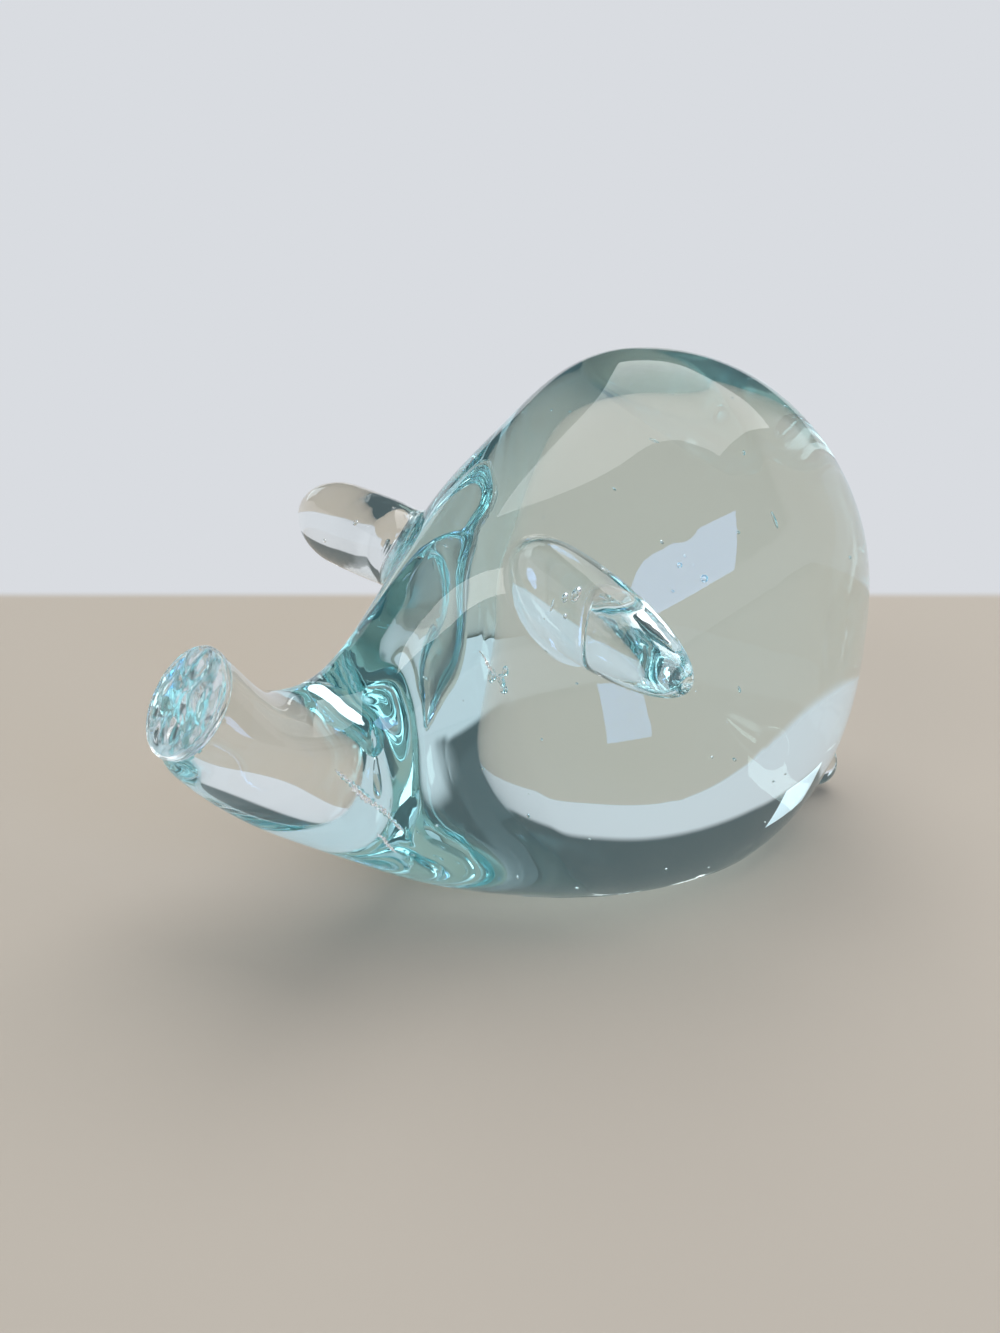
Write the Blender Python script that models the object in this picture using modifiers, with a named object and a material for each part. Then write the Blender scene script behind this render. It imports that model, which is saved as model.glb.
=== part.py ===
"""Solid glass pig figurine, worked hot by hand and ground flat underneath.

The pig is made the way a glassmaker makes it. One gather of clear glass is shaped into the body,
and its head is pulled forward into an upturned snout. Further small bits of hot glass are then
laid on it: the snout disc, the two ears and the tail. The cold piece is ground flat to stand.

Metres, +Z up. The origin is on the ground flat, under the widest section of the body.
The pig looks along -Y, and its left side is +X.
"""

import math
from dataclasses import astuple, dataclass

import bmesh
import bpy
import numpy as np
from mathutils import Matrix, Vector


@dataclass(frozen=True)
class Section:
    """One cross-section of the gather.

    forward and height place its centre, tilt turns it up in degrees, rise and drop reach from the
    centre to the top and bottom of the section, and crown and belly say how full its upper and
    lower corners are: 2 is an ellipse, and more is squarer.
    """

    forward: float
    height: float
    tilt: float
    half_width: float
    rise: float
    drop: float
    crown: float = 2.0
    belly: float = 2.0


@dataclass(frozen=True)
class Ear:
    """One drawn-out bit of glass: where it is laid on the neck, how it points and how big it is.

    forward is where its middle meets the neck, and clock is how far up the neck's side, in degrees
    above level. droop and sweep turn its free end down and back from straight out to the side,
    and twist turns its upper edge forward. fullest is the share of its length at which it is
    widest, and root says how square its sunk end is: 2 is an ellipse.

    forward is a share of SNOUT_REACH, and length, width and thickness are shares of EAR_LENGTH.
    """

    forward: float
    clock: float
    length: float
    width: float
    thickness: float
    droop: float
    sweep: float
    twist: float
    fullest: float
    root: float


# The gather: how far it reaches from its widest section, and how wide and high it is there.
BACK_HEIGHT = 0.0706
TORSO_WIDTH = 0.0577
TORSO_MID_HEIGHT = 0.0370
GRIND_DEPTH = 0.0070
RUMP_REACH = 0.0344
RUMP_MID_HEIGHT = 0.0310
SNOUT_REACH = 0.0686
TORSO_CROWN = 2.14
TORSO_BELLY = 2.47

# The sections that lead forward from the torso to the snout. forward is a share of SNOUT_REACH,
# half_width is a share of the torso's, and height, rise and drop are shares of BACK_HEIGHT.
SHOULDER = Section(
    forward=0.221, height=0.418, tilt=1.7, half_width=0.912, rise=0.503, drop=0.480,
    crown=2.13, belly=2.42,
)
NECK = Section(
    forward=0.408, height=0.384, tilt=2.9, half_width=0.752, rise=0.425, drop=0.391,
    crown=2.08, belly=2.28,
)
CHEEK = Section(
    forward=0.583, height=0.331, tilt=7.5, half_width=0.454, rise=0.360, drop=0.263,
    crown=2.04, belly=2.14,
)
MUZZLE = Section(
    forward=0.748, height=0.349, tilt=22.5, half_width=0.320, rise=0.203, drop=0.169,
)
SNOUT_BEND = Section(
    forward=0.943, height=0.466, tilt=54.0, half_width=0.322, rise=0.078, drop=0.126,
)
SNOUT_END = Section(
    forward=1.0, height=0.507, tilt=36.0, half_width=0.253, rise=0.098, drop=0.098,
)

# The snout disc, a thin pad pressed on to the end of the snout, whose outline it follows. 2 makes
# its side an ellipse, and more makes it squarer.
DISC_THICKNESS = 0.0021
DISC_OVERHANG = 0.0003
DISC_WIDEST_HEIGHT = 0.0007
DISC_SQUARENESS = 2.6
WRINKLE_DEPTH = 0.0004

# The ears, one laid on each side of the neck. No two hand-made ears are quite alike.
EAR_LENGTH = 0.0257
EAR_SINK = 0.0058
LEFT_EAR = Ear(
    forward=0.416, clock=42.5, length=1.0, width=0.541, thickness=0.346,
    droop=9.5, sweep=0.7, twist=9.6, fullest=0.15, root=2.4,
)
RIGHT_EAR = Ear(
    forward=0.462, clock=43.5, length=1.058, width=0.479, thickness=0.444,
    droop=2.0, sweep=1.0, twist=7.2, fullest=0.57, root=4.0,
)

# The tail, a short bit of glass laid low on the rump.
TAIL_HEIGHT = 0.0088
TAIL_LENGTH = 0.0125
TAIL_WIDTH = 0.0078
TAIL_THICKNESS = 0.0084
TAIL_DROOP = 30.0
TAIL_SWEEP = 80.0
TAIL_SINK = 0.0040
TAIL_FULLEST = 0.65
TAIL_ROOT = 2.4

# The gap that is kept where two bits of glass meet, so that each stays a solid of its own.
SEAM_GAP = 0.0003

# How finely the round forms are drawn.
RING_POINTS = 56
RUMP_RINGS = 13
FRONT_RINGS = 40
BIT_STEPS = 28
TIP_POINTS = 9
FACE_POINTS = 14
MERGE = 0.00001


def torso_section():
    """The widest section of the gather, worked out from the height of the back and the grind."""
    return Section(
        forward=0.0,
        height=TORSO_MID_HEIGHT,
        tilt=0.0,
        half_width=TORSO_WIDTH / 2,
        rise=BACK_HEIGHT - TORSO_MID_HEIGHT,
        drop=TORSO_MID_HEIGHT + GRIND_DEPTH,
        crown=TORSO_CROWN,
        belly=TORSO_BELLY,
    )


def sized(section):
    """A section in metres, from one that is written in shares."""
    return Section(
        forward=section.forward * SNOUT_REACH,
        height=section.height * BACK_HEIGHT,
        tilt=section.tilt,
        half_width=section.half_width * TORSO_WIDTH / 2,
        rise=section.rise * BACK_HEIGHT,
        drop=section.drop * BACK_HEIGHT,
        crown=section.crown,
        belly=section.belly,
    )


def front_sections():
    """The sections from the torso forward, in order, as rows of numbers."""
    shares = (SHOULDER, NECK, CHEEK, MUZZLE, SNOUT_BEND, SNOUT_END)
    order = [torso_section()] + [sized(section) for section in shares]
    return np.array([astuple(section) for section in order])


def centre_distances(rows):
    """How far each section's centre lies along the centre line from the torso."""
    steps = np.hypot(np.diff(rows[:, 0]), np.diff(rows[:, 1]))
    return np.concatenate(([0.0], np.cumsum(steps)))


def curve_slopes(knots, values, start_slope):
    """Slopes at the knots of the smooth curve through values, free at its far end."""
    count = len(knots)
    gaps = np.diff(knots)
    rises = np.diff(values) / gaps
    system = np.zeros((count, count))
    target = np.zeros(count)
    system[0, 0] = 1.0
    target[0] = start_slope
    for i in range(1, count - 1):
        system[i, i - 1] = gaps[i]
        system[i, i] = 2.0 * (gaps[i - 1] + gaps[i])
        system[i, i + 1] = gaps[i - 1]
        target[i] = 3.0 * (gaps[i] * rises[i - 1] + gaps[i - 1] * rises[i])
    system[-1, -2] = 1.0
    system[-1, -1] = 2.0
    target[-1] = 3.0 * rises[-1]
    return np.linalg.solve(system, target)


def section_at(distance):
    """The gather's section at a distance along its centre line, forward of the torso."""
    rows = front_sections()
    knots = centre_distances(rows)
    i = min(int(np.searchsorted(knots, distance, side="right")) - 1, len(knots) - 2)
    gap = knots[i + 1] - knots[i]
    t = (distance - knots[i]) / gap
    fields = []
    for column in range(rows.shape[1]):
        start_slope = (rows[1, 0] - rows[0, 0]) / knots[1] if column == 0 else 0.0
        values = rows[:, column]
        slopes = curve_slopes(knots, values, start_slope)
        fields.append(
            values[i] * (2 * t**3 - 3 * t**2 + 1)
            + slopes[i] * gap * (t**3 - 2 * t**2 + t)
            + values[i + 1] * (3 * t**2 - 2 * t**3)
            + slopes[i + 1] * gap * (t**3 - t**2)
        )
    return Section(*fields)


def rump_section(angle):
    """The gather's section behind the torso, at an angle from the rump's end: 0 is its end."""
    torso = torso_section()
    back = math.cos(angle)
    size = math.sin(angle)
    return Section(
        forward=-RUMP_REACH * back,
        height=torso.height + (RUMP_MID_HEIGHT - torso.height) * back**2,
        tilt=0.0,
        half_width=torso.half_width * size,
        rise=torso.rise * size,
        drop=torso.drop * size,
        crown=torso.crown,
        belly=torso.belly,
    )


def section_point(section, angle):
    """A point on a section's outline. The angle runs from the pig's left (0) up over its back."""
    across = math.cos(angle)
    up = math.sin(angle)
    power = 2.0 / (section.crown if up >= 0.0 else section.belly)
    side = math.copysign(abs(across) ** power, across) * section.half_width
    lift = abs(up) ** power * (section.rise if up >= 0.0 else -section.drop)
    tilt = math.radians(section.tilt)
    forward = section.forward - math.sin(tilt) * lift
    return Vector((side, -forward, section.height + math.cos(tilt) * lift))


def gather_rings():
    """The gather's outlines from rump to snout, each as a list of points."""
    sections = [rump_section(math.pi / 2 * k / RUMP_RINGS) for k in range(1, RUMP_RINGS)]
    length = centre_distances(front_sections())[-1]
    sections += [section_at(length * k / FRONT_RINGS) for k in range(FRONT_RINGS + 1)]
    angles = [math.tau * k / RING_POINTS for k in range(RING_POINTS)]
    return [[section_point(section, angle) for angle in angles] for section in sections]


def gather_mesh(name):
    """A closed skin lofted through the gather's outlines, with a pole at the rump."""
    shape = bmesh.new()
    rump = rump_section(0.0)
    pole = shape.verts.new((0.0, -rump.forward, rump.height))
    rings = [[shape.verts.new(point) for point in ring] for ring in gather_rings()]
    for k in range(RING_POINTS):
        after = (k + 1) % RING_POINTS
        shape.faces.new((pole, rings[0][k], rings[0][after]))
        for near, far in zip(rings, rings[1:]):
            shape.faces.new((near[k], far[k], far[after], near[after]))
    shape.faces.new(reversed(rings[-1]))
    bmesh.ops.recalc_face_normals(shape, faces=shape.faces)
    mesh = bpy.data.meshes.new(name)
    shape.to_mesh(mesh)
    shape.free()
    return mesh


def clear_objects():
    """Removes whatever the file already holds."""
    for thing in list(bpy.data.objects):
        bpy.data.objects.remove(thing, do_unlink=True)


def new_collection(name):
    """A collection under the scene."""
    collection = bpy.data.collections.new(name)
    bpy.context.scene.collection.children.link(collection)
    return collection


def add_object(name, mesh, collection):
    """An object for a mesh, in a collection."""
    thing = bpy.data.objects.new(name, mesh)
    collection.objects.link(thing)
    return thing


def add_cutter(name, mesh, collection):
    """An object that only cuts others."""
    cutter = add_object(name, mesh, collection)
    cutter.hide_render = True
    cutter.display_type = "WIRE"
    return cutter


def cut_by(thing, cutter, label):
    """Cuts an object by another."""
    cut = thing.modifiers.new(label, "BOOLEAN")
    cut.operation = "DIFFERENCE"
    cut.solver = "EXACT"
    cut.object = cutter


def turned_object(name, profile, collection):
    """A shape turned about Z from a profile of (radius, height) that runs top to bottom."""
    mesh = bpy.data.meshes.new(name)
    points = [(radius, 0.0, height) for radius, height in profile]
    mesh.from_pydata(points, [(k, k + 1) for k in range(len(points) - 1)], [])
    thing = add_object(name, mesh, collection)
    turn = thing.modifiers.new("turn", "SCREW")
    turn.steps = BIT_STEPS
    turn.render_steps = BIT_STEPS
    turn.use_merge_vertices = True
    turn.merge_threshold = MERGE
    return thing


def freeze(thing):
    """Turns an object's modifiers into its mesh."""
    graph = bpy.context.evaluated_depsgraph_get()
    mesh = bpy.data.meshes.new_from_object(thing.evaluated_get(graph))
    thing.modifiers.clear()
    old = thing.data
    thing.data = mesh
    bpy.data.meshes.remove(old)


def aim(direction, up, twist):
    """A turn that points +Z along a direction, with +X as near up as it can be, then twisted."""
    along = direction.normalized()
    wide = (up - along * up.dot(along)).normalized()
    thin = along.cross(wide)
    turn = Matrix((wide, thin, along)).transposed()
    return turn @ Matrix.Rotation(math.radians(twist), 3, "Z")


def glass_material(name, colour, roughness):
    """Clear glass: a clean, non-metallic, see-through surface."""
    material = bpy.data.materials.new(name)
    material.use_nodes = True
    surface = material.node_tree.nodes["Principled BSDF"]
    surface.inputs["Base Color"].default_value = (*colour, 1.0)
    surface.inputs["Roughness"].default_value = roughness
    surface.inputs["Metallic"].default_value = 0.0
    surface.inputs["IOR"].default_value = 1.51
    surface.inputs["Transmission Weight"].default_value = 1.0
    return material


def body_glass():
    """The body's glass, thick enough to look faintly blue-green."""
    return glass_material("body_glass", (0.76, 0.88, 0.86), 0.02)


def disc_glass():
    """The snout disc's glass, dulled a little by its wrinkled face."""
    return glass_material("disc_glass", (0.68, 0.82, 0.79), 0.08)


def ear_glass(side):
    """One ear's glass, thin and nearly colourless."""
    return glass_material(f"{side}_ear_glass", (0.86, 0.92, 0.91), 0.02)


def tail_glass():
    """The tail's glass."""
    return glass_material("tail_glass", (0.78, 0.89, 0.88), 0.03)


def dress(thing, material):
    """Gives an object its glass and smooth shading."""
    thing.data.materials.append(material)
    thing.data.shade_smooth()
    thing.data.set_sharp_from_angle(angle=math.radians(40.0))


def add_seat_cutter(collection):
    """The gather's skin grown by the seam gap, which cuts the seat of every bit laid on it."""
    cutter = add_cutter("seat_cutter", gather_mesh("seat_cutter"), collection)
    grow = cutter.modifiers.new("seam_gap", "DISPLACE")
    grow.mid_level = 0.0
    grow.strength = SEAM_GAP
    return cutter


def add_grinding_slab(collection):
    """The slab that the grinding wheel takes off under the body."""
    length = 2.0 * (RUMP_REACH + SNOUT_REACH)
    shape = bmesh.new()
    bmesh.ops.create_cube(shape, size=length)
    bmesh.ops.translate(shape, verts=shape.verts, vec=(0.0, 0.0, -length / 2))
    mesh = bpy.data.meshes.new("grinding_slab")
    shape.to_mesh(mesh)
    shape.free()
    return add_cutter("grinding_slab", mesh, collection)


def make_body(parts, slab):
    """The gather: torso, head and snout in one, ground flat underneath."""
    body = add_object("body", gather_mesh("body"), parts)
    cut_by(body, slab, "ground_flat")
    dress(body, body_glass())


def disc_profile():
    """Half of the snout disc's outline: a low domed face, a round rim and a flat back."""
    back = sized(SNOUT_END).half_width
    rim = back + DISC_OVERHANG
    crown = DISC_THICKNESS - DISC_WIDEST_HEIGHT
    power = 2.0 / DISC_SQUARENESS
    profile = [(0.0, DISC_THICKNESS)]
    for k in range(1, FACE_POINTS + 1):
        angle = math.pi / 2 * (1 - k / FACE_POINTS)
        across = math.cos(angle) ** power
        profile.append((rim * across, DISC_WIDEST_HEIGHT + crown * math.sin(angle) ** power))
    return profile + [(back, 0.0), (0.0, 0.0)]


def wrinkle(point):
    """How far the sheared face of the disc is pushed in at a point, from 0 to 1."""
    reach = sized(SNOUT_END).half_width + DISC_OVERHANG
    across = point.x / reach
    along = point.y / reach
    folds = math.sin(7.0 * across + 3.6 * along) * math.cos(5.1 * along - 2.6 * across)
    fade = max(0.0, 1.0 - (across**2 + along**2))
    return (0.5 + 0.5 * folds) * fade


def make_snout_disc(parts):
    """The snout disc, turned, wrinkled on its face and pressed square on to the snout."""
    seat = sized(SNOUT_END)
    disc = turned_object("snout_disc", disc_profile(), parts)
    freeze(disc)
    for vertex in disc.data.vertices:
        if vertex.co.z > DISC_WIDEST_HEIGHT:
            vertex.co.z -= WRINKLE_DEPTH * wrinkle(vertex.co)
    seat_half_height = (seat.rise + seat.drop) / 2
    disc.data.transform(Matrix.Diagonal((seat_half_height / seat.half_width, 1.0, 1.0, 1.0)))
    tilt = math.radians(seat.tilt)
    out = Vector((0.0, -math.cos(tilt), math.sin(tilt)))
    up = Vector((0.0, math.sin(tilt), math.cos(tilt)))
    middle = (seat.rise - seat.drop) / 2
    end = Vector((0.0, -seat.forward, seat.height))
    disc.rotation_mode = "QUATERNION"
    disc.rotation_quaternion = aim(out, up, 0.0).to_quaternion()
    disc.location = end + up * middle + out * SEAM_GAP
    dress(disc, disc_glass())


def lobe_profile(length, sink, fullest, root):
    """Half of a drawn bit's outline with a unit radius: round tip, full middle, sunk round root."""
    belly = length * fullest
    profile = []
    for k in range(TIP_POINTS + 1):
        angle = math.pi / 2 * k / TIP_POINTS
        profile.append((math.sin(angle), belly + (length - belly) * math.cos(angle)))
    for k in range(1, TIP_POINTS + 1):
        angle = math.pi / 2 * (1 - k / TIP_POINTS)
        radius = math.sin(angle) ** (2 / root) if k < TIP_POINTS else 0.0
        profile.append((radius, belly - (belly + sink) * math.cos(angle) ** (2 / root)))
    return profile


def make_bit(name, profile, width, thickness, collection):
    """A turned bit of hot glass, pressed oval: width along its own X, thickness along its Y."""
    bit = turned_object(name, profile, collection)
    freeze(bit)
    bit.data.transform(Matrix.Diagonal((width / 2, thickness / 2, 1.0, 1.0)))
    return bit


def neck_seat(forward, clock):
    """The point on the gather's left side that lies so far forward, at a clock angle."""
    low = 0.0
    high = centre_distances(front_sections())[-1]
    angle = math.radians(clock)
    for _ in range(40):
        middle = (low + high) / 2
        if -section_point(section_at(middle), angle).y < forward:
            low = middle
        else:
            high = middle
    return section_point(section_at(low), angle)


def make_ear(name, ear, side, parts, seat):
    """An ear: laid on the neck, drawn out to the side and left hanging a little."""
    bit = make_bit(
        name,
        lobe_profile(ear.length * EAR_LENGTH, EAR_SINK, ear.fullest, ear.root),
        ear.width * EAR_LENGTH,
        ear.thickness * EAR_LENGTH,
        parts,
    )
    droop = math.radians(ear.droop)
    sweep = math.radians(ear.sweep)
    out = Vector((side * math.cos(droop) * math.cos(sweep), math.sin(sweep), -math.sin(droop)))
    bit.rotation_mode = "QUATERNION"
    bit.rotation_quaternion = aim(out, Vector((0.0, 0.0, 1.0)), side * ear.twist).to_quaternion()
    seat_point = neck_seat(ear.forward * SNOUT_REACH, ear.clock)
    bit.location = (side * seat_point.x, seat_point.y, seat_point.z)
    cut_by(bit, seat, "seat")
    dress(bit, ear_glass(name))


def rump_seat(height):
    """The point on the middle of the rump's underside at a height above the table."""
    low = 0.0
    high = math.pi / 2
    for _ in range(40):
        angle = (low + high) / 2
        section = rump_section(angle)
        if section.height - section.drop > height:
            low = angle
        else:
            high = angle
    return section_point(rump_section(low), -math.pi / 2)


def make_tail(parts, seat):
    """The tail: a short round-ended bit, laid low on the rump and pressed down to the left."""
    profile = lobe_profile(TAIL_LENGTH, TAIL_SINK, TAIL_FULLEST, TAIL_ROOT)
    tail = make_bit("tail", profile, TAIL_WIDTH, TAIL_THICKNESS, parts)
    droop = math.radians(TAIL_DROOP)
    sweep = math.radians(TAIL_SWEEP)
    level = math.cos(droop)
    out = Vector((level * math.sin(sweep), level * math.cos(sweep), -math.sin(droop)))
    tail.rotation_mode = "QUATERNION"
    tail.rotation_quaternion = aim(out, Vector((0.0, 0.0, 1.0)), 0.0).to_quaternion()
    tail.location = rump_seat(TAIL_HEIGHT)
    cut_by(tail, seat, "seat")
    dress(tail, tail_glass())


def main():
    """Builds the pig."""
    clear_objects()
    parts = new_collection("pig_figurine")
    cutters = new_collection("cutters")
    seat = add_seat_cutter(cutters)
    slab = add_grinding_slab(cutters)
    make_body(parts, slab)
    make_snout_disc(parts)
    make_ear("ear_left", LEFT_EAR, 1, parts, seat)
    make_ear("ear_right", RIGHT_EAR, -1, parts, seat)
    make_tail(parts, seat)
    bpy.context.view_layer.update()


if __name__ == "__main__":
    main()
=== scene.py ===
"""The finished look of a solid glass pig figurine: clear soda-lime glass on a plain pale floor.

The pig is made the way a glassmaker makes it. One gather is shaped into body and head, and small
hot bits are laid on it: a snout disc, two ears and a tail. Each is a closed solid of its own here,
whose foot is melted into the gather, as the real bits are.

Metres, +Z up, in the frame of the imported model. The pig looks along -Y, and its left side is +X.
"""

import logging
import math
import random
from dataclasses import dataclass, field
from enum import Enum

import bmesh
import bpy
from mathutils import Matrix, Vector, noise
from mathutils.bvhtree import BVHTree


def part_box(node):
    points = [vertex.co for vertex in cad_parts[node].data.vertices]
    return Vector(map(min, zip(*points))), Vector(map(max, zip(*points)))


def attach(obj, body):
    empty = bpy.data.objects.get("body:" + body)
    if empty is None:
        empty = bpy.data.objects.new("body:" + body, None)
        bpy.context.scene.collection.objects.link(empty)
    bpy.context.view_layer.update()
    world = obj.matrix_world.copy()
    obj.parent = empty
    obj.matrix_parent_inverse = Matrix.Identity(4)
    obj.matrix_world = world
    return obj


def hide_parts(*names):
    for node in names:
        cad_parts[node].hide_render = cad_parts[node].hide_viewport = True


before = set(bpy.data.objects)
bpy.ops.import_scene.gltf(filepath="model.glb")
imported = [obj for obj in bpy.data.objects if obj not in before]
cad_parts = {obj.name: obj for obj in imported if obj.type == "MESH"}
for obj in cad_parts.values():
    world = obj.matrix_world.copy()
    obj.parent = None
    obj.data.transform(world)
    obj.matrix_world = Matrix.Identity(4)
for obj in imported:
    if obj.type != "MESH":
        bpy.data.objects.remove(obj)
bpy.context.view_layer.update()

MM = 0.001
BODY = "root"
PHOTO_HEIGHT = 1333
LONG_SIDE_MM = 36.0
WELD = 0.001 * MM
QUAD_FACE_ANGLE = 25.0
QUAD_SHAPE_ANGLE = 60.0
SHARP_ANGLE = 50.0
BUBBLE_ROUNDNESS = 2
PATTERN_LENGTH = 100.0
LIGHT_BOUNCES = 32
MIX_SHARE, MIX_FIRST, MIX_SECOND, MIX_RESULT = 0, 6, 7, 2

logging.basicConfig(level=logging.INFO, format="%(message)s")
LOG = logging.getLogger("glass_pig")

Shape = bmesh.types.BMesh


class Slot(Enum):
    """The record's material slots."""

    BODY = "body_glass"
    DISC = "disc_glass"
    EAR = "ear_glass"
    TAIL = "tail_glass"


class Mark(Enum):
    """Point attributes that tell a glass where its surface was worked otherwise."""

    GROUND = "ground"
    SHEARED = "sheared"


def linear(hex_colour: str) -> tuple[float, float, float, float]:
    """Turns an sRGB hex colour to linear RGBA.

    Args:
        hex_colour: Six hex digits after a #.

    Returns:
        Red, green, blue and alpha, each from 0 to 1.
    """
    channels = [int(hex_colour[k : k + 2], 16) / 255 for k in (1, 3, 5)]
    low = [c / 12.92 for c in channels]
    high = [((c + 0.055) / 1.055) ** 2.4 for c in channels]
    return (*(a if c <= 0.04045 else b for c, a, b in zip(channels, low, high)), 1.0)


def add_node(
    tree: bpy.types.NodeTree,
    kind: str,
    settings: dict[str, object] | None = None,
    values: dict[str | int, object] | None = None,
    links: dict[str | int, bpy.types.NodeSocket] | None = None,
) -> bpy.types.Node:
    """Adds a shader node.

    Args:
        tree: The node tree it goes in.
        kind: The node's type, without ShaderNode in front.
        settings: The node's own properties, by name.
        values: Constant values for its inputs, by name or number.
        links: What feeds its other inputs, by name or number.

    Returns:
        The new node.
    """
    made = tree.nodes.new(f"ShaderNode{kind}")
    for name, value in (settings or {}).items():
        setattr(made, name, value)
    for name, value in (values or {}).items():
        made.inputs[name].default_value = value
    for name, source in (links or {}).items():
        tree.links.new(source, made.inputs[name])
    return made


@dataclass(frozen=True)
class FurnaceGlass:
    """Soda-lime glass, gathered from the furnace and fire-polished.

    It gives the eye a clean mirror-smooth skin over clear glass whose thick parts go blue-green,
    and whose faint cords make window reflections waver. Where it was ground it is a little
    duller, and where it was sheared off and chilled it is hazy and crumpled. Lengths are metres.
    """

    name: str
    deep_colour: str = "#5DE6EF"
    density: float = 4.0
    ior: float = 1.51
    haze: float = 0.004
    ground_haze: float = 0.01
    sheared_haze: float = 0.14
    cord_spacing: float = 9.0 * MM
    cord_height: float = 0.010 * MM
    cord_swirl: float = 0.6
    smudge_spacing: float = 14.0 * MM
    smudge_start: float = 0.5
    smudge_full: float = 0.8
    crumple_spacing: float = 1.8 * MM
    crumple_height: float = 0.08 * MM

    def material(self) -> bpy.types.Material:
        """Builds the glass.

        Returns:
            A material with a see-through surface and a tinted inside.
        """
        made = bpy.data.materials.new(self.name)
        made.use_nodes = True
        tree = made.node_tree
        tree.nodes.clear()
        place = add_node(tree, "TexCoord").outputs["Object"]
        ground = add_node(tree, "Attribute", {"attribute_name": Mark.GROUND.value}).outputs["Fac"]
        sheared = add_node(tree, "Attribute", {"attribute_name": Mark.SHEARED.value}).outputs["Fac"]
        surface = add_node(
            tree,
            "BsdfPrincipled",
            values={
                "Base Color": (1.0, 1.0, 1.0, 1.0),
                "IOR": self.ior,
                "Transmission Weight": 1.0,
            },
            links={
                "Roughness": self.roughness(tree, place, ground, sheared),
                "Normal": self.relief(tree, place, sheared),
            },
        )
        inside = add_node(
            tree,
            "VolumeAbsorption",
            values={"Color": linear(self.deep_colour), "Density": self.density},
        )
        add_node(
            tree,
            "OutputMaterial",
            links={"Surface": surface.outputs["BSDF"], "Volume": inside.outputs["Volume"]},
        )
        return made

    def roughness(
        self,
        tree: bpy.types.NodeTree,
        place: bpy.types.NodeSocket,
        ground: bpy.types.NodeSocket,
        sheared: bpy.types.NodeSocket,
    ) -> bpy.types.NodeSocket:
        """Handling smudges on the fire-polished skin, and the duller ground and sheared parts.

        Args:
            tree: The material's nodes.
            place: The object coordinates.
            ground: How far a point belongs to the ground flat.
            sheared: How far a point belongs to the sheared face.

        Returns:
            The roughness.
        """
        cloud = add_node(
            tree,
            "TexNoise",
            values={"Scale": 1.0 / self.smudge_spacing, "Detail": 3.0, "Roughness": 0.6},
            links={"Vector": place},
        )
        smudge = add_node(
            tree,
            "MapRange",
            values={
                "From Min": self.smudge_start,
                "From Max": self.smudge_full,
                "To Min": 0.0,
                "To Max": self.haze,
            },
            links={"Value": cloud.outputs["Fac"]},
        )
        haze = smudge.outputs["Result"]
        for mark, most in ((ground, self.ground_haze), (sheared, self.sheared_haze)):
            added = add_node(
                tree,
                "Math",
                {"operation": "MULTIPLY_ADD"},
                {1: most},
                {0: mark, 2: haze},
            )
            haze = added.outputs["Value"]
        return haze

    def relief(
        self,
        tree: bpy.types.NodeTree,
        place: bpy.types.NodeSocket,
        sheared: bpy.types.NodeSocket,
    ) -> bpy.types.NodeSocket:
        """Faint cords everywhere, and a chilled crumple where sheared.

        Args:
            tree: The material's nodes.
            place: The object coordinates.
            sheared: How far a point belongs to the sheared face.

        Returns:
            The surface normal.
        """
        cord = add_node(
            tree,
            "TexNoise",
            values={
                "Scale": 1.0 / self.cord_spacing,
                "Detail": 1.0,
                "Distortion": self.cord_swirl,
            },
            links={"Vector": place},
        )
        waver = add_node(
            tree,
            "Bump",
            values={"Strength": 1.0, "Distance": self.cord_height},
            links={"Height": cord.outputs["Fac"]},
        )
        fold = add_node(
            tree,
            "TexNoise",
            {"noise_type": "RIDGED_MULTIFRACTAL", "normalize": True},
            {"Scale": 1.0 / self.crumple_spacing, "Detail": 3.0},
            {"Vector": place},
        )
        crumple = add_node(
            tree,
            "Bump",
            values={"Distance": self.crumple_height},
            links={
                "Strength": sheared,
                "Height": fold.outputs["Fac"],
                "Normal": waver.outputs["Normal"],
            },
        )
        return crumple.outputs["Normal"]


def node_shape(node: str) -> Shape:
    """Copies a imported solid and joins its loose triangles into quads.

    Args:
        node: The CAD node's name.

    Returns:
        The copy.
    """
    shape = bmesh.new()
    shape.from_mesh(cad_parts[node].data)
    bmesh.ops.remove_doubles(shape, verts=shape.verts, dist=WELD)
    bmesh.ops.join_triangles(
        shape,
        faces=shape.faces,
        angle_face_threshold=math.radians(QUAD_FACE_ANGLE),
        angle_shape_threshold=math.radians(QUAD_SHAPE_ANGLE),
    )
    return shape


def rounded(shape: Shape, levels: int, crisp_angle: float) -> Shape:
    """Rounds a coarse shape by subdivision, and keeps its sharp edges crisp.

    Args:
        shape: The coarse shape, which is used up.
        levels: How many times its faces are divided.
        crisp_angle: Edges that turn more than this, in degrees, stay sharp.

    Returns:
        The fine shape.
    """
    crease = shape.edges.layers.float.new("crease_edge")
    for edge in shape.edges:
        if edge.calc_face_angle(0.0) > math.radians(crisp_angle):
            edge[crease] = 1.0
    mesh = bpy.data.meshes.new("rounding")
    shape.to_mesh(mesh)
    shape.free()
    thing = bpy.data.objects.new("rounding", mesh)
    bpy.context.scene.collection.objects.link(thing)
    rounding = thing.modifiers.new("rounding", "SUBSURF")
    rounding.levels = levels
    rounding.render_levels = levels
    fine = bmesh.new()
    fine.from_object(thing, bpy.context.evaluated_depsgraph_get())
    bpy.data.objects.remove(thing)
    bpy.data.meshes.remove(mesh)
    return fine


@dataclass(frozen=True)
class Bubble:
    """A bubble of trapped air: its middle and radius in millimetres, and how it is drawn out."""

    x: float
    y: float
    z: float
    radius: float
    stretch: float = 1.0
    along: tuple[float, float, float] = (0.0, 0.0, 1.0)


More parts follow.
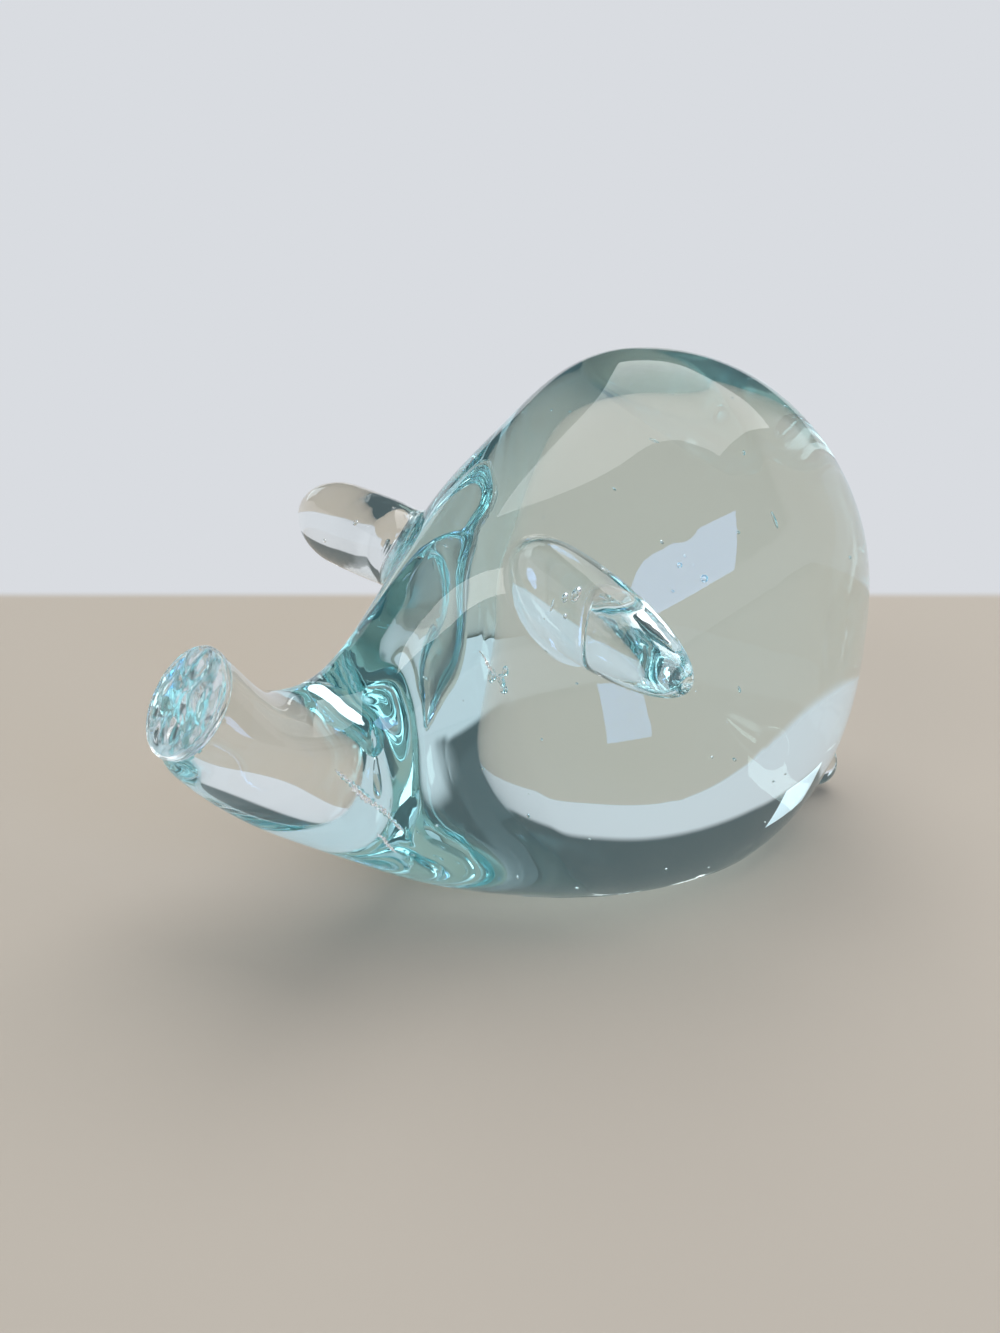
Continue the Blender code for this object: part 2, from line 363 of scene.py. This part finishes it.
def weave(shape: Shape, columns: list[list[Vector]]) -> list[bmesh.types.BMFace]:
    """Draws a ball's skin over columns of points, which meet at both ends.

    Args:
        shape: What the skin is added to.
        columns: The columns, in order round the skin, each with as many points.

    Returns:
        The skin's faces, which face outwards.
    """
    rows = len(columns[0]) - 1
    ball = bmesh.ops.create_uvsphere(shape, u_segments=len(columns), v_segments=rows, radius=1.0)
    for vertex in ball["verts"]:
        row = round(vertex.co.angle(Vector((0.0, 0.0, 1.0))) / math.pi * rows)
        side = round(math.atan2(-vertex.co.x, vertex.co.y) / math.tau * len(columns))
        vertex.co = columns[side % len(columns)][row]
    faces = list({face for vertex in ball["verts"] for face in vertex.link_faces})
    bmesh.ops.recalc_face_normals(shape, faces=faces)
    return faces


@dataclass(frozen=True)
class Crease:
    """A fold that closed over threads of air, which are beaded tubes now.

    start, end, radius and wander are millimetres. A waist is a share of a bead's radius.
    """

    start: tuple[float, float, float]
    end: tuple[float, float, float]
    radius: float
    beads: int
    wander: float
    threads: int = 1
    sides: int = 12
    rings_per_bead: int = 8
    waist: float = 0.4
    unevenness: float = 0.5
    bends: float = 3.0

    def hollow(self, shape: Shape, draw: random.Random) -> None:
        """Hollows the threads out of a glass.

        Args:
            shape: The glass.
            draw: The source of their unevenness.
        """
        for _ in range(self.threads):
            columns = self.thread(draw.uniform(0.0, PATTERN_LENGTH))
            bmesh.ops.reverse_faces(shape, faces=weave(shape, columns))

    def thread(self, shift: float) -> list[list[Vector]]:
        """One thread, as columns of points from end to end.

        Args:
            shift: Where in the endless pattern of unevenness this thread lies.

        Returns:
            The columns.
        """
        start = Vector(self.start)
        way = Vector(self.end) - start
        turn = way.to_track_quat("Z", "Y")
        rings = self.beads * self.rings_per_bead
        columns = []
        for side in range(self.sides):
            angle = math.tau * side / self.sides
            out = turn @ Vector((math.cos(angle), math.sin(angle), 0.0))
            column = [start * MM]
            for ring in range(1, rings):
                share = ring / rings
                bead = abs(math.sin(math.pi * self.beads * share + shift))
                size = self.waist + (1.0 - self.waist) * bead
                taper = math.sin(math.pi * share)
                along = Vector((shift, share * self.beads, 0.0))
                size *= math.sqrt(taper) * (1.0 + self.unevenness * noise.noise(along))
                bend = noise.noise_vector(Vector((share * self.bends, shift, 0.0)))
                middle = start + way * share + bend * self.wander * math.sqrt(taper)
                column.append((middle + out * self.radius * size) * MM)
            column.append(Vector(self.end) * MM)
            columns.append(column)
        return columns


@dataclass(frozen=True)
class Cluster:
    """A pinch of small bubbles round one place, in millimetres."""

    middle: tuple[float, float, float]
    spread: float
    count: int
    smallest: float
    largest: float
    longest_stretch: float = 2.2

    def bubbles(self, draw: random.Random) -> list[Bubble]:
        """The bubbles of the pinch.

        Args:
            draw: The source of their places and sizes.

        Returns:
            The bubbles.
        """
        found = []
        for _ in range(self.count):
            step = Vector([draw.gauss(0.0, self.spread) for _ in range(3)])
            radius = draw.uniform(self.smallest, self.largest)
            stretch = draw.uniform(1.0, self.longest_stretch)
            found.append(Bubble(*(Vector(self.middle) + step), radius, stretch))
        return found


def add_bubbles(shape: Shape, bubbles: list[Bubble]) -> None:
    """Hollows bubbles out of a glass, each a small closed wall that faces its own air.

    Args:
        shape: The glass.
        bubbles: What is hollowed out.
    """
    for bubble in bubbles:
        place = Matrix.Translation(Vector((bubble.x, bubble.y, bubble.z)) * MM)
        turn = Vector(bubble.along).to_track_quat("Z", "Y").to_matrix().to_4x4()
        drawn_out = Matrix.Diagonal((1.0, 1.0, bubble.stretch, 1.0))
        wall = bmesh.ops.create_icosphere(
            shape,
            subdivisions=BUBBLE_ROUNDNESS,
            radius=1.0,
            matrix=place @ turn @ drawn_out @ Matrix.Scale(bubble.radius * MM, 4),
        )
        faces = list({face for vertex in wall["verts"] for face in vertex.link_faces})
        bmesh.ops.reverse_faces(shape, faces=faces)


def in_glass(bubble: Bubble, skin: BVHTree, margin: float) -> bool:
    """Whether a bubble lies clear inside a glass.

    Args:
        bubble: The bubble.
        skin: The glass's skin.
        margin: How many radii of glass it needs round it.

    Returns:
        Whether it has them, with the skin facing away from it both ways along X and along Z.
    """
    middle = Vector((bubble.x, bubble.y, bubble.z)) * MM
    for way in (Vector((1, 0, 0)), Vector((-1, 0, 0)), Vector((0, 0, 1)), Vector((0, 0, -1))):
        normal = skin.ray_cast(middle, way)[1]
        if normal is None or normal.dot(way) <= 0.0:
            return False
    return skin.find_nearest(middle)[3] > margin * bubble.radius * MM


def finish_piece(shape: Shape, name: str, node: str, glass: FurnaceGlass) -> None:
    """Turns a shape into a finished piece that stands for its CAD node.

    Args:
        shape: The piece's shape, which is used up.
        name: The piece's name.
        node: The CAD node that it replaces.
        glass: What it is made of.
    """
    mesh = bpy.data.meshes.new(name)
    shape.to_mesh(mesh)
    shape.free()
    mesh.shade_smooth()
    mesh.set_sharp_from_angle(angle=math.radians(SHARP_ANGLE))
    mesh.materials.append(glass.material())
    piece = bpy.data.objects.new(name, mesh)
    bpy.context.scene.collection.objects.link(piece)
    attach(piece, BODY)
    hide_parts(node)
    LOG.info("%s: %d faces", name, len(mesh.polygons))


def melt(shape: Shape, spacing: Vector, depth: float, shift: float) -> None:
    """Lets a skin sink unevenly by a little, as hot glass does, and never rise.

    Args:
        shape: The glass.
        spacing: How far apart the hollows lie along X, Y and Z.
        depth: How deep the deepest is.
        shift: Where in the endless pattern of hollows this glass lies.
    """
    shape.normal_update()
    moved = []
    for vertex in shape.verts:
        place = Vector([a / b + shift for a, b in zip(vertex.co, spacing)])
        moved.append(vertex.co - vertex.normal * depth * (0.5 + 0.5 * noise.noise(place)))
    for vertex, place in zip(shape.verts, moved):
        vertex.co = place


@dataclass
class Gather:
    """The gather: torso, head and snout in one piece of glass, ground flat underneath."""

    node: str = "body"
    levels: int = 2
    crisp_angle: float = 40.0
    sliver: float = 0.35 * MM
    rim_bevel: float = 0.35 * MM
    rim_steps: int = 2
    hollow_spacing: float = 15.0 * MM
    hollow_depth: float = 0.09 * MM
    seed_count: int = 40
    seed_sizes: tuple[float, float] = (0.08, 0.22)
    seed_stretch: float = 2.0
    seed_along: tuple[float, float, float] = (0.0, -1.0, 0.3)
    seed_margin: float = 6.0
    placed_margin: float = 1.5
    seed: int = 7
    glass: FurnaceGlass = FurnaceGlass("soda_lime_glass_fire_polished_and_ground")
    flank_bubbles: tuple[Bubble, ...] = (
        Bubble(20.5, -12.6, 47.9, 0.36),
        Bubble(21.9, -9.8, 46.1, 0.52),
        Bubble(23.3, -0.1, 52.2, 0.20, 6.0, (0.2, 0.3, -1.0)),
        Bubble(21.6, -4.4, 50.9, 0.22),
        Bubble(25.6, -6.5, 32.1, 0.20, 3.5, (0.3, -0.5, 0.8)),
        Bubble(18.9, -1.4, 59.8, 0.18, 2.0),
        Bubble(12.0, -9.7, 61.0, 0.16, 4.0, (0.7, 0.6, -0.4)),
    )
    creases: tuple[Crease, ...] = (
        Crease((8.0, -55.0, 27.1), (8.3, -45.6, 16.2), 0.40, 15, 0.6, threads=2),
        Crease((7.3, -48.9, 16.5), (7.1, -46.0, 12.7), 0.30, 6, 0.5),
        Crease((12.2, -36.6, 39.4), (13.0, -34.3, 35.6), 0.20, 5, 0.3),
    )
    neck_pinch: Cluster = Cluster((13.0, -34.2, 35.4), 0.75, 12, 0.18, 0.50)

    def build(self) -> BVHTree:
        """Builds the gather.

        Returns:
            Its skin, for what is laid on it.
        """
        shape = node_shape(self.node)
        self.clean_rim(shape)
        shape = rounded(shape, self.levels, self.crisp_angle)
        self.sink(shape)
        self.mark_ground(shape)
        skin = BVHTree.FromBMesh(shape)
        # Blender starts noise_vector, which bends the creases, from the clock unless it is seeded.
        noise.seed_set(self.seed)
        draw = random.Random(self.seed)
        for crease in self.creases:
            crease.hollow(shape, draw)
        add_bubbles(shape, self.bubbles(skin, draw))
        finish_piece(shape, "gather", self.node, self.glass)
        return skin

    def clean_rim(self, shape: Shape) -> None:
        """Draws the ground flat again as one face with a small worn bevel round it.

        Args:
            shape: The gather.
        """
        floor = [v for v in shape.verts if abs(v.co.z) < WELD]
        bmesh.ops.remove_doubles(shape, verts=floor, dist=self.sliver)
        flat = [f for f in shape.faces if all(abs(v.co.z) < WELD for v in f.verts)]
        bmesh.ops.dissolve_faces(shape, faces=flat)
        flat = [f for f in shape.faces if all(abs(v.co.z) < WELD for v in f.verts)]
        rim = list({edge for face in flat for edge in face.edges})
        bmesh.ops.bevel(
            shape,
            geom=rim,
            offset=self.rim_bevel,
            segments=self.rim_steps,
            affect="EDGES",
            profile=0.5,
            material=-1,
        )

    def sink(self, shape: Shape) -> None:
        """Gives the skin the shallow hollows of hand work, and keeps the ground flat flat.

        Args:
            shape: The gather.
        """
        spacing = Vector([self.hollow_spacing] * 3)
        flat = {vertex: vertex.co.copy() for vertex in shape.verts if vertex.co.z < self.rim_bevel}
        melt(shape, spacing, self.hollow_depth, self.seed)
        for vertex, place in flat.items():
            vertex.co = place

    def mark_ground(self, shape: Shape) -> None:
        """Marks the ground flat, so that its glass is duller.

        Args:
            shape: The gather.
        """
        mark = shape.verts.layers.float.new(Mark.GROUND.value)
        for vertex in shape.verts:
            vertex[mark] = 1.0 if vertex.co.z < self.rim_bevel / 2 else 0.0

    def bubbles(self, skin: BVHTree, draw: random.Random) -> list[Bubble]:
        """The bubbles that the photograph shows, and finer seed scattered through the glass.

        Args:
            skin: The gather's skin.
            draw: The source of the seed's places and sizes.

        Returns:
            The bubbles.
        """
        placed = [*self.flank_bubbles, *self.neck_pinch.bubbles(draw)]
        found = [bubble for bubble in placed if in_glass(bubble, skin, self.placed_margin)]
        low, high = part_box(self.node)
        wanted = len(found) + self.seed_count
        while len(found) < wanted:
            middle = [draw.uniform(a, b) / MM for a, b in zip(low, high)]
            stretch = draw.uniform(1.0, self.seed_stretch)
            seed = Bubble(*middle, draw.uniform(*self.seed_sizes), stretch, self.seed_along)
            if in_glass(seed, skin, self.seed_margin):
                found.append(seed)
        return found


@dataclass
class LaidBit:
    """A hot bit of glass laid on the gather: its foot melts in and its rim spreads out.

    Its skin is drawn anew in even columns that run from its tip to its foot, so that the light
    bends cleanly in it.
    """

    node: str
    name: str
    slot: Slot
    glass: FurnaceGlass
    levels: int = 1
    crisp_angle: float = 50.0
    flare: float = 1.4 * MM
    reach: float = 1.7 * MM
    melt_in: float = 0.05 * MM
    seat_height: float = 0.42 * MM
    columns: int = 72
    rows: int = 60
    foot_rows: int = 8
    crowding: float = 1.5
    sweep_steps: int = 180
    finest_step: float = 0.0001
    hollow_spacing: Vector = field(default_factory=lambda: Vector((20.0, 5.0, 5.0)) * MM)
    hollow_depth: float = 0.03 * MM
    bubbles: tuple[Bubble, ...] = ()
    bubble_margin: float = 1.2

    def build(self, skin: BVHTree) -> None:
        """Builds the bit.

        Args:
            skin: The gather's skin, on which it is laid.
        """
        solid = rounded(node_shape(self.node), self.levels, self.crisp_angle)
        crust = BVHTree.FromBMesh(solid)
        heart = sum((v.co for v in solid.verts), Vector()) / len(solid.verts)
        out = self.way_out(solid, heart, skin)
        solid.free()
        columns = [self.column(crust, skin, heart, out, k) for k in range(self.columns)]
        self.add_foot(columns, skin)
        shape = bmesh.new()
        weave(shape, columns)
        self.work(shape)
        worked = BVHTree.FromBMesh(shape)
        add_bubbles(shape, [b for b in self.bubbles if in_glass(b, worked, self.bubble_margin)])
        finish_piece(shape, self.name, self.node, self.glass)

    def way_out(self, solid: Shape, heart: Vector, skin: BVHTree) -> Vector:
        """The way from the bit's middle to its point farthest from the gather.

        Args:
            solid: The bit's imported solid.
            heart: Its middle.
            skin: The gather's skin.

        Returns:
            The way, one metre long.
        """
        tip = max(solid.verts, key=lambda vertex: self.height(vertex.co, skin))
        return (tip.co - heart).normalized()

    def height(self, place: Vector, skin: BVHTree) -> float:
        """How far a place lies over the gather's skin.

        Args:
            place: The place.
            skin: The gather's skin.

        Returns:
            The height, which is negative inside the gather.
        """
        near, normal, _, _ = skin.find_nearest(place)
        return (place - near).dot(normal)

    def column(
        self, crust: BVHTree, skin: BVHTree, heart: Vector, out: Vector, number: int
    ) -> list[Vector]:
        """One column of the skin, from the tip down the side to the fillet's edge.

        Args:
            crust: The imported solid's skin.
            skin: The gather's skin.
            heart: The middle of the solid.
            out: The way out to its tip.
            number: Which column it is.

        Returns:
            Its points.
        """
        round_tip = math.tau * number / self.columns
        sideways = Vector((math.cos(round_tip), math.sin(round_tip), 0.0))
        sideways = out.to_track_quat("Z", "Y") @ sideways
        path = []
        angle = 0.0
        step = math.pi / self.sweep_steps
        while step > self.finest_step and angle < math.pi - step / 2:
            hit = crust.ray_cast(heart, out * math.cos(angle) + sideways * math.sin(angle))[0]
            if self.height(hit, skin) < self.seat_height:
                step /= 2
                angle -= step
            else:
                path.append(hit)
                angle += step
        return [self.spread(point, heart, skin) for point in self.resampled(path)]

    def resampled(self, path: list[Vector]) -> list[Vector]:
        """Points along a path that crowd towards its end.

        Args:
            path: The path.

        Returns:
            The points, the path's two ends among them.
        """
        lengths = [0.0]
        for before, after in zip(path, path[1:]):
            lengths.append(lengths[-1] + (after - before).length)
        found = []
        leg = 0
        for row in range(self.rows + 1):
            share = 1.0 - (1.0 - row / self.rows) ** self.crowding
            want = lengths[-1] * share
            while leg < len(path) - 2 and lengths[leg + 1] < want:
                leg += 1
            part = (want - lengths[leg]) / (lengths[leg + 1] - lengths[leg])
            found.append(path[leg].lerp(path[leg + 1], part))
        return found

    def spread(self, point: Vector, heart: Vector, skin: BVHTree) -> Vector:
        """Moves a point near the gather out along the round hollow of the fillet.

        Args:
            point: The point.
            heart: The middle of the bit.
            skin: The gather's skin.

        Returns:
            Where the point goes.
        """
        near, normal, _, _ = skin.find_nearest(point)
        height = (point - near).dot(normal)
        if height >= self.reach:
            return point
        rise = max(0.0, height - self.seat_height) / (self.reach - self.seat_height)
        side = point - heart
        side -= normal * side.dot(normal)
        step = self.flare * (1.0 - math.sqrt(1.0 - (1.0 - rise) ** 2))
        near, normal, _, _ = skin.find_nearest(point + side.normalized() * step)
        return near + normal * (rise * (self.reach + self.melt_in) - self.melt_in)

    def add_foot(self, columns: list[list[Vector]], skin: BVHTree) -> None:
        """Carries the columns on under the bit to one point, just inside the gather's skin.

        Args:
            columns: The columns of points.
            skin: The gather's skin.
        """
        middle = sum((column[-1] for column in columns), Vector()) / len(columns)
        for column in columns:
            rim = column[-1]
            for row in range(1, self.foot_rows + 1):
                near, normal, _, _ = skin.find_nearest(rim.lerp(middle, row / self.foot_rows))
                column.append(near - normal * self.melt_in)

    def work(self, shape: Shape) -> None:
        """Gives the bit the lengthwise hollows of drawn glass.

        Args:
            shape: The bit.
        """
        melt(shape, self.hollow_spacing, self.hollow_depth, 0.0)


LEFT_EAR_BUBBLES = (
    Bubble(20.7, -28.1, 46.8, 0.45),
    Bubble(21.5, -27.0, 46.8, 0.60),
    Bubble(21.0, -27.8, 45.1, 0.28),
    Bubble(19.7, -29.5, 46.2, 0.20, 4.0, (0.3, 0.0, 1.0)),
)
RIGHT_EAR_BUBBLES = (
    Bubble(-22.0, -31.0, 45.2, 0.20, 2.5, (1.0, 0.0, 0.1)),
    Bubble(-28.5, -32.5, 43.4, 0.14, 3.0, (1.0, 0.0, 0.1)),
)


@dataclass
class SnoutDisc(LaidBit):
    """The snout disc: its face was sheared off hot and chilled into folds.

    It is thickened backwards until its foot lies in the gather's end.
    """

    face_way: tuple[float, float, float] = (0.0, -0.81, 0.59)
    thickness: float = 2.1 * MM
    sunk: float = 0.35 * MM
    seat_height: float = -1.0
    columns: int = 160
    rows: int = 110
    crowding: float = 1.0
    fold_depth: float = 0.75 * MM
    fold_length: float = 4.6 * MM
    fold_width: float = 3.2 * MM
    fold_turn: float = 40.0
    fold_detail: float = 2.0
    fold_roughness: float = 0.8
    fold_finer: float = 2.1
    fold_offset: float = 1.0
    fold_gain: float = 1.5
    fold_crest: float = 2.0
    rim_facing: float = 0.70
    face_facing: float = 0.95

    def way_out(self, solid: Shape, heart: Vector, skin: BVHTree) -> Vector:
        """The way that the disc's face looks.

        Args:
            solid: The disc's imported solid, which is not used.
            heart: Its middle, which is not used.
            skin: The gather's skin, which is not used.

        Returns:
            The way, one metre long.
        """
        return Vector(self.face_way).normalized()

    def spread(self, point: Vector, heart: Vector, skin: BVHTree) -> Vector:
        """Moves the back half of the disc towards the gather.

        Args:
            point: A point of the disc.
            heart: Its middle.
            skin: The gather's skin, which is not used.

        Returns:
            Where the point goes.
        """
        out = Vector(self.face_way).normalized()
        share = 0.5 + (heart - point).dot(out) / self.thickness
        return point - out * self.sunk * min(1.0, max(0.0, share))

    def add_foot(self, columns: list[list[Vector]], skin: BVHTree) -> None:
        """Closes the columns at one point in the middle of the back.

        Args:
            columns: The columns of points.
            skin: The gather's skin, which is not used.
        """
        middle = sum((column[-1] for column in columns), Vector()) / len(columns)
        for column in columns:
            column.append(middle)

    def work(self, shape: Shape) -> None:
        """Folds the sheared face inwards, and marks it for the chilled finish.

        Args:
            shape: The disc.
        """
        shape.normal_update()
        out = Vector(self.face_way).normalized()
        turn = math.radians(self.fold_turn)
        left = Vector((1.0, 0.0, 0.0))
        up = left.cross(out).normalized()
        along = up * math.cos(turn) + left * math.sin(turn)
        beside = out.cross(along)
        mark = shape.verts.layers.float.new(Mark.SHEARED.value)
        for vertex in shape.verts:
            facing = vertex.normal.dot(out) - self.rim_facing
            facing = min(1.0, max(0.0, facing / (self.face_facing - self.rim_facing)))
            grain = Vector((vertex.co.dot(along), vertex.co.dot(beside), 0.0))
            grain.x /= self.fold_length
            grain.y /= self.fold_width
            fold = noise.ridged_multi_fractal(
                grain,
                self.fold_roughness,
                self.fold_finer,
                self.fold_detail,
                self.fold_offset,
                self.fold_gain,
            )
            vertex[mark] = facing
            vertex.co -= out * self.fold_depth * facing * min(1.0, fold / self.fold_crest)


@dataclass(frozen=True)
class PhotoCamera:
    """The camera, placed as the photograph was taken."""

    place: tuple[float, float, float] = (144.2 * MM, -125.9 * MM, 100.4 * MM)
    heading: float = 145.0
    pitch: float = 21.6
    focal_pixels: float = 1411.0

    def build(self) -> None:
        """Builds the camera and makes it the scene's."""
        lens = bpy.data.cameras.new("photo_camera")
        lens.sensor_fit = "VERTICAL"
        lens.sensor_height = LONG_SIDE_MM
        lens.lens = self.focal_pixels / PHOTO_HEIGHT * LONG_SIDE_MM
        lens.clip_start = 5.0 * MM
        camera = bpy.data.objects.new("photo_camera", lens)
        bpy.context.scene.collection.objects.link(camera)
        down = math.radians(self.pitch)
        turn = math.radians(self.heading)
        level = math.cos(down)
        view = Vector((level * math.cos(turn), level * math.sin(turn), -math.sin(down)))
        camera.location = self.place
        camera.rotation_mode = "QUATERNION"
        camera.rotation_quaternion = view.to_track_quat("-Z", "Y")
        bpy.context.scene.camera = camera


@dataclass(frozen=True)
class SoftLamp:
    """A soft rectangular lamp, like daylight through one window.

    azimuth is measured from +X towards +Y, and elevation above the floor, both in degrees.
    """

    name: str
    azimuth: float
    elevation: float
    width: float
    height: float
    watts: float
    colour: str
    distance: float = 1.2
    aim: tuple[float, float, float] = (0.0, 0.0, 30.0 * MM)

    def build(self) -> None:
        """Builds the lamp, which the camera itself doesn't see."""
        light = bpy.data.lights.new(self.name, "AREA")
        light.shape = "RECTANGLE"
        light.size = self.width
        light.size_y = self.height
        light.energy = self.watts
        light.color = linear(self.colour)[:3]
        lamp = bpy.data.objects.new(self.name, light)
        bpy.context.scene.collection.objects.link(lamp)
        round_z = math.radians(self.azimuth)
        up = math.radians(self.elevation)
        level = math.cos(up)
        out = Vector((level * math.cos(round_z), level * math.sin(round_z), math.sin(up)))
        lamp.location = Vector(self.aim) + out * self.distance
        lamp.rotation_mode = "QUATERNION"
        lamp.rotation_quaternion = (-out).to_track_quat("-Z", "Y")
        lamp.visible_camera = False


def distance_along(
    tree: bpy.types.NodeTree,
    place: bpy.types.NodeSocket,
    way: tuple[float, float, float],
) -> bpy.types.NodeSocket:
    """How far a place lies along a way.

    Args:
        tree: The material's nodes.
        place: The place, or a direction.
        way: The way.

    Returns:
        The dot product of the two.
    """
    made = add_node(tree, "VectorMath", {"operation": "DOT_PRODUCT"}, {1: way}, {0: place})
    return made.outputs["Value"]


def soft_step(
    tree: bpy.types.NodeTree,
    value: bpy.types.NodeSocket,
    low: float,
    high: float,
    most: float = 1.0,
) -> bpy.types.NodeSocket:
    """A soft step from nothing at one value to its most at another.

    Args:
        tree: The material's nodes.
        value: What the step follows.
        low: Where it starts.
        high: Where it ends.
        most: Its size.

    Returns:
        The step.
    """
    made = add_node(
        tree,
        "MapRange",
        {"interpolation_type": "SMOOTHSTEP"},
        {"From Min": low, "From Max": high, "To Min": 0.0, "To Max": most},
        {"Value": value},
    )
    return made.outputs["Result"]


@dataclass(frozen=True)
class PaintedBoard:
    """Matt painted board, which goes over into the pale backdrop behind the pig.

    It gives the eye an even ground that keeps the pig's soft shadow. fade_start and fade_end are
    metres from the pig's middle, along the heading behind, in degrees.
    """

    name: str = "matt_painted_board"
    colour: str = "#CBBFB1"
    far_colour: str = "#D9DCE1"
    roughness: float = 0.9
    shine: float = 0.2
    behind: float = 145.0
    fade_start: float = 0.104
    fade_end: float = 0.110

    def material(self) -> bpy.types.Material:
        """Builds the board's finish.

        Returns:
            The material.
        """
        made = bpy.data.materials.new(self.name)
        made.use_nodes = True
        tree = made.node_tree
        tree.nodes.clear()
        place = add_node(tree, "TexCoord").outputs["Object"]
        turn = math.radians(self.behind)
        depth = distance_along(tree, place, (math.cos(turn), math.sin(turn), 0.0))
        board = add_node(
            tree,
            "BsdfPrincipled",
            values={
                "Base Color": linear(self.colour),
                "Roughness": self.roughness,
                "Specular IOR Level": self.shine,
            },
        )
        far = add_node(tree, "Emission", values={"Color": linear(self.far_colour)})
        both = add_node(
            tree,
            "MixShader",
            links={
                0: soft_step(tree, depth, self.fade_start, self.fade_end),
                1: board.outputs["BSDF"],
                2: far.outputs["Emission"],
            },
        )
        add_node(tree, "OutputMaterial", links={"Surface": both.outputs["Shader"]})
        return made


@dataclass(frozen=True)
class Backdrop:
    """A pale wall, lowest behind the pig, under a duller room with one soft pale patch.

    All angles are degrees. pale_end and shade_start are heights over the floor behind the pig,
    and the wall is higher by rise beyond rise_end to either side. The patch lies round glow_way.
    """

    pale: str = "#D9DCE1"
    shade: str = "#536063"
    behind: float = 145.0
    pale_end: float = 3.8
    shade_start: float = 6.2
    rise_start: float = 34.0
    rise_end: float = 50.0
    rise: float = 9.0
    glow_way: tuple[float, float, float] = (0.217, 0.941, 0.259)
    glow_full: float = 20.0
    glow_end: float = 28.0

    def build(self) -> None:
        """Builds the backdrop, as the scene's world."""
        world = bpy.data.worlds.new("pale_backdrop")
        bpy.context.scene.world = world
        world.use_nodes = True
        tree = world.node_tree
        tree.nodes.clear()
        direction = add_node(tree, "TexCoord").outputs["Generated"]
        room = add_node(
            tree,
            "Mix",
            {"data_type": "RGBA"},
            {MIX_FIRST: linear(self.pale), MIX_SECOND: linear(self.shade)},
            {MIX_SHARE: self.shaded(tree, direction)},
        )
        light = add_node(tree, "Background", links={"Color": room.outputs[MIX_RESULT]})
        add_node(tree, "OutputWorld", links={"Surface": light.outputs["Background"]})

    def shaded(
        self, tree: bpy.types.NodeTree, direction: bpy.types.NodeSocket
    ) -> bpy.types.NodeSocket:
        """How far a direction looks into the duller room.

        Args:
            tree: The world's nodes.
            direction: The direction.

        Returns:
            0 at the wall and in the patch, 1 in the room.
        """
        turn = math.radians(self.behind)
        height = add_node(tree, "SeparateXYZ", links={"Vector": direction})
        wall_rise = soft_step(
            tree,
            distance_along(tree, direction, (math.cos(turn), math.sin(turn), 0.0)),
            math.cos(math.radians(self.rise_start)),
            math.cos(math.radians(self.rise_end)),
            -math.sin(math.radians(self.rise)),
        )
        over_wall = add_node(
            tree,
            "Math",
            {"operation": "ADD"},
            links={0: height.outputs["Z"], 1: wall_rise},
        )
        overhead = soft_step(
            tree,
            over_wall.outputs["Value"],
            math.sin(math.radians(self.pale_end)),
            math.sin(math.radians(self.shade_start)),
        )
        outside_glow = soft_step(
            tree,
            distance_along(tree, direction, self.glow_way),
            math.cos(math.radians(self.glow_full)),
            math.cos(math.radians(self.glow_end)),
        )
        both = add_node(
            tree,
            "Math",
            {"operation": "MULTIPLY"},
            links={0: overhead, 1: outside_glow},
        )
        return both.outputs["Value"]


@dataclass
class Studio:
    """A plain pale floor before a pale backdrop, under soft lamps."""

    board: PaintedBoard = PaintedBoard()
    backdrop: Backdrop = Backdrop()
    floor_radius: float = 4.0
    floor_sides: int = 128
    drop: float = 0.2 * MM
    lamps: tuple[SoftLamp, ...] = (
        SoftLamp("window_beside", -4.0, 24.0, 0.26, 0.44, 2.3, "#9EC4FF"),
        SoftLamp("window_ahead", -70.0, 38.0, 0.40, 0.22, 1.1, "#FFFDF8"),
        SoftLamp("pale_wall_behind", 175.0, 10.0, 0.30, 0.26, 0.26, "#E6F6FF"),
        SoftLamp("overhead", 120.0, 72.0, 1.50, 1.50, 16.0, "#FFFFFF"),
    )

    def build(self) -> None:
        """Builds the floor, the backdrop and the lamps."""
        self.build_floor()
        self.backdrop.build()
        for lamp in self.lamps:
            lamp.build()

    def build_floor(self) -> None:
        """Builds the floor, a hair under the pig's ground flat."""
        shape = bmesh.new()
        bmesh.ops.create_circle(
            shape,
            cap_ends=True,
            segments=self.floor_sides,
            radius=self.floor_radius,
        )
        bmesh.ops.translate(shape, verts=shape.verts, vec=(0.0, 0.0, -self.drop))
        mesh = bpy.data.meshes.new("floor")
        shape.to_mesh(mesh)
        shape.free()
        floor = bpy.data.objects.new("floor", mesh)
        bpy.context.scene.collection.objects.link(floor)
        mesh.materials.append(self.board.material())


def main() -> None:
    """Builds the pig and the studio in order."""
    scene = bpy.context.scene
    scene.view_settings.view_transform = "Standard"
    scene.cycles.max_bounces = LIGHT_BOUNCES
    scene.cycles.transmission_bounces = LIGHT_BOUNCES
    scene.cycles.glossy_bounces = LIGHT_BOUNCES
    skin = Gather().build()
    ear = FurnaceGlass("soda_lime_glass_drawn_ear")
    LaidBit("ear_left", "ear_left_bit", Slot.EAR, ear, bubbles=LEFT_EAR_BUBBLES).build(skin)
    LaidBit("ear_right", "ear_right_bit", Slot.EAR, ear, bubbles=RIGHT_EAR_BUBBLES).build(skin)
    tail = FurnaceGlass("soda_lime_glass_drawn_tail")
    LaidBit("tail", "tail_bit", Slot.TAIL, tail).build(skin)
    disc = FurnaceGlass("soda_lime_glass_sheared_and_chilled")
    SnoutDisc("snout_disc", "snout_disc_bit", Slot.DISC, disc).build(skin)
    PhotoCamera().build()
    Studio().build()


if __name__ == "__main__":
    main()
